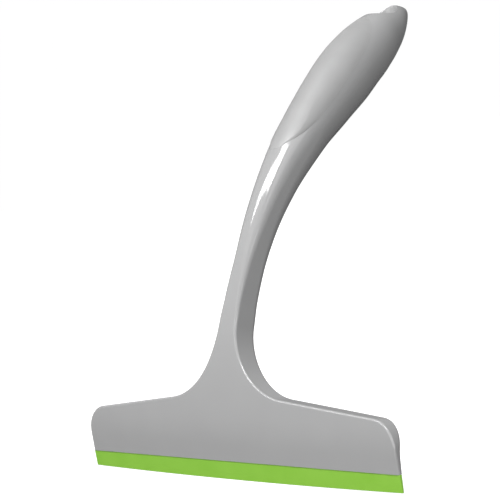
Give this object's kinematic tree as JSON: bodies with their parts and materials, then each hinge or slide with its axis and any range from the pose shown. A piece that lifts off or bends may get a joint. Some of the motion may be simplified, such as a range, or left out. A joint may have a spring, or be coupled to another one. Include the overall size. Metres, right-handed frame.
{
  "type": "window squeegee",
  "caption": "Hand squeegee with a wide flat head, a curved oval grip with a soft thumb pad and a hanging hole, and a flexible wiping lip along the head's foot.",
  "frame": {"origin": "centre of the flat land at the foot of the head's front face, 4 mm above the head's bottom edge", "axes": "+X along the wiping lip, +Y from the front face to the back, +Z from the lip up towards the grip"},
  "size_m": [0.24, 0.1794, 0.2245],
  "materials": {
    "shell": "satin grey plastic",
    "pad": "fine matte soft-touch grey",
    "lip": "matte green",
    "screw": "zinc plated"
  },
  "bodies": {
    "handle": {"handle_body": "shell", "back_cover": "shell", "thumb_pad": "pad", "lip_root": "lip", "screw_head_left": "screw", "screw_head_right": "screw", "screw_neck": "screw", "screw_grip": "screw"},
    "lip": {"wiper_lip": "lip"}
  },
  "joints": [
    {"name": "lip_flex", "type": "hinge", "parent": "handle", "child": "lip", "pos_m": [0, 0.0011, -0.0051], "axis": [1, 0, 0], "range_deg": [-25, 25], "stiffness_Nm_per_rad": 0.5}
  ]
}
